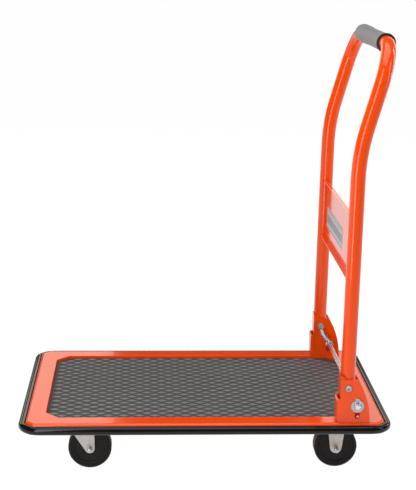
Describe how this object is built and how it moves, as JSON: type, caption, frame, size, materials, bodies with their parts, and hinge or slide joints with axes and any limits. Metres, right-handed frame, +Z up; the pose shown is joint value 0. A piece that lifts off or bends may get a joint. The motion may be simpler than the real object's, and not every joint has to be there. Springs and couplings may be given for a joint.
{
  "type": "folding platform cart",
  "caption": "Folding platform cart: sheet steel deck with ribbed rubber mat and wrap-round bumper, fold-down push handle with foam grip, swivel and fixed casters.",
  "frame": {"origin": "on the floor under the middle of the deck", "axes": "+X from the swivel casters towards the handle, +Y to the left when facing +X, +Z up"},
  "size_m": [0.72, 0.47, 0.8516],
  "materials": {
    "orange_paint": "glossy powder coat",
    "mat_rubber": "moulded lozenge relief, satin",
    "bumper_vinyl": "glossy extruded vinyl",
    "black_paint": "satin",
    "grip_foam": "soft foam, matte",
    "label_film": "printed film, satin",
    "zinc_plate": "zinc plated pressed steel",
    "zinc_fastener": "zinc plated",
    "bright_wire": "nickel plated wire",
    "bar_chrome": "chrome plated",
    "tyre_rubber": "satin",
    "hub_plastic": "moulded, satin"
  },
  "bodies": {
    "deck": {"deck_pan": "orange_paint", "mat": "mat_rubber", "bumper": "bumper_vinyl", "rail_swivel_end": "black_paint", "rail_middle": "black_paint", "rail_handle_end": "black_paint", "caster_bolts": "zinc_fastener", "caster_nuts": "zinc_fastener", "bracket_left": "orange_paint", "pivot_bolt_left": "zinc_fastener", "pivot_nut_left": "zinc_fastener", "stop_rivet_left": "zinc_fastener", "fixed_fork_left": "zinc_plate", "axle_fixed_left": "zinc_fastener", "axle_nut_fixed_left": "zinc_fastener", "swivel_plate_left": "zinc_plate", "swivel_race_left": "zinc_plate", "kingpin_left": "zinc_plate", "spring_left": "bright_wire", "bracket_right": "orange_paint", "pivot_bolt_right": "zinc_fastener", "pivot_nut_right": "zinc_fastener", "stop_rivet_right": "zinc_fastener", "fixed_fork_right": "zinc_plate", "axle_fixed_right": "zinc_fastener", "axle_nut_fixed_right": "zinc_fastener", "swivel_plate_right": "zinc_plate", "swivel_race_right": "zinc_plate", "kingpin_right": "zinc_plate", "spring_right": "bright_wire"},
    "handle": {"handle_tube": "orange_paint", "grip": "grip_foam", "panel": "orange_paint", "label_plate": "label_film", "channel_left": "orange_paint", "channel_right": "orange_paint"},
    "foot_bar": {"foot_bar": "bar_chrome", "washer_left": "zinc_fastener", "washer_right": "zinc_fastener", "split_pin_left": "bright_wire", "split_pin_right": "bright_wire"},
    "swivel_left": {"swivel_fork_left": "zinc_plate", "axle_swivel_left": "zinc_fastener", "axle_nut_swivel_left": "zinc_fastener"},
    "wheel_swivel_left": {"tyre_swivel_left": "tyre_rubber", "hub_swivel_left": "hub_plastic"},
    "wheel_fixed_left": {"tyre_fixed_left": "tyre_rubber", "hub_fixed_left": "hub_plastic"},
    "swivel_right": {"swivel_fork_right": "zinc_plate", "axle_swivel_right": "zinc_fastener", "axle_nut_swivel_right": "zinc_fastener"},
    "wheel_swivel_right": {"tyre_swivel_right": "tyre_rubber", "hub_swivel_right": "hub_plastic"},
    "wheel_fixed_right": {"tyre_fixed_right": "tyre_rubber", "hub_fixed_right": "hub_plastic"}
  },
  "joints": [
    {"name": "handle_fold", "type": "hinge", "parent": "deck", "child": "handle", "pos_m": [0.2705, 0, 0.1875], "axis": [0, -1, 0], "range_deg": [0, 90]},
    {"name": "foot_bar_press", "type": "slide", "parent": "deck", "child": "foot_bar", "axis": [0, 0, -1], "range_m": [0, 0.01], "stiffness_N_per_m": 900, "springref_m": -0.02, "deforming": ["spring_left", "spring_right"]},
    {"name": "swivel_turn_left", "type": "hinge", "parent": "deck", "child": "swivel_left", "pos_m": [-0.249, 0.141, 0.0925], "axis": [0, 0, 1], "continuous": true},
    {"name": "wheel_spin_swivel_left", "type": "hinge", "parent": "swivel_left", "child": "wheel_swivel_left", "pos_m": [-0.225, 0.141, 0.0425], "axis": [0, 1, 0], "continuous": true},
    {"name": "wheel_spin_fixed_left", "type": "hinge", "parent": "deck", "child": "wheel_fixed_left", "pos_m": [0.26, 0.141, 0.0425], "axis": [0, 1, 0], "continuous": true},
    {"name": "swivel_turn_right", "type": "hinge", "parent": "deck", "child": "swivel_right", "pos_m": [-0.249, -0.141, 0.0925], "axis": [0, 0, 1], "continuous": true},
    {"name": "wheel_spin_swivel_right", "type": "hinge", "parent": "swivel_right", "child": "wheel_swivel_right", "pos_m": [-0.225, -0.141, 0.0425], "axis": [0, 1, 0], "continuous": true},
    {"name": "wheel_spin_fixed_right", "type": "hinge", "parent": "deck", "child": "wheel_fixed_right", "pos_m": [0.26, -0.141, 0.0425], "axis": [0, 1, 0], "continuous": true}
  ]
}
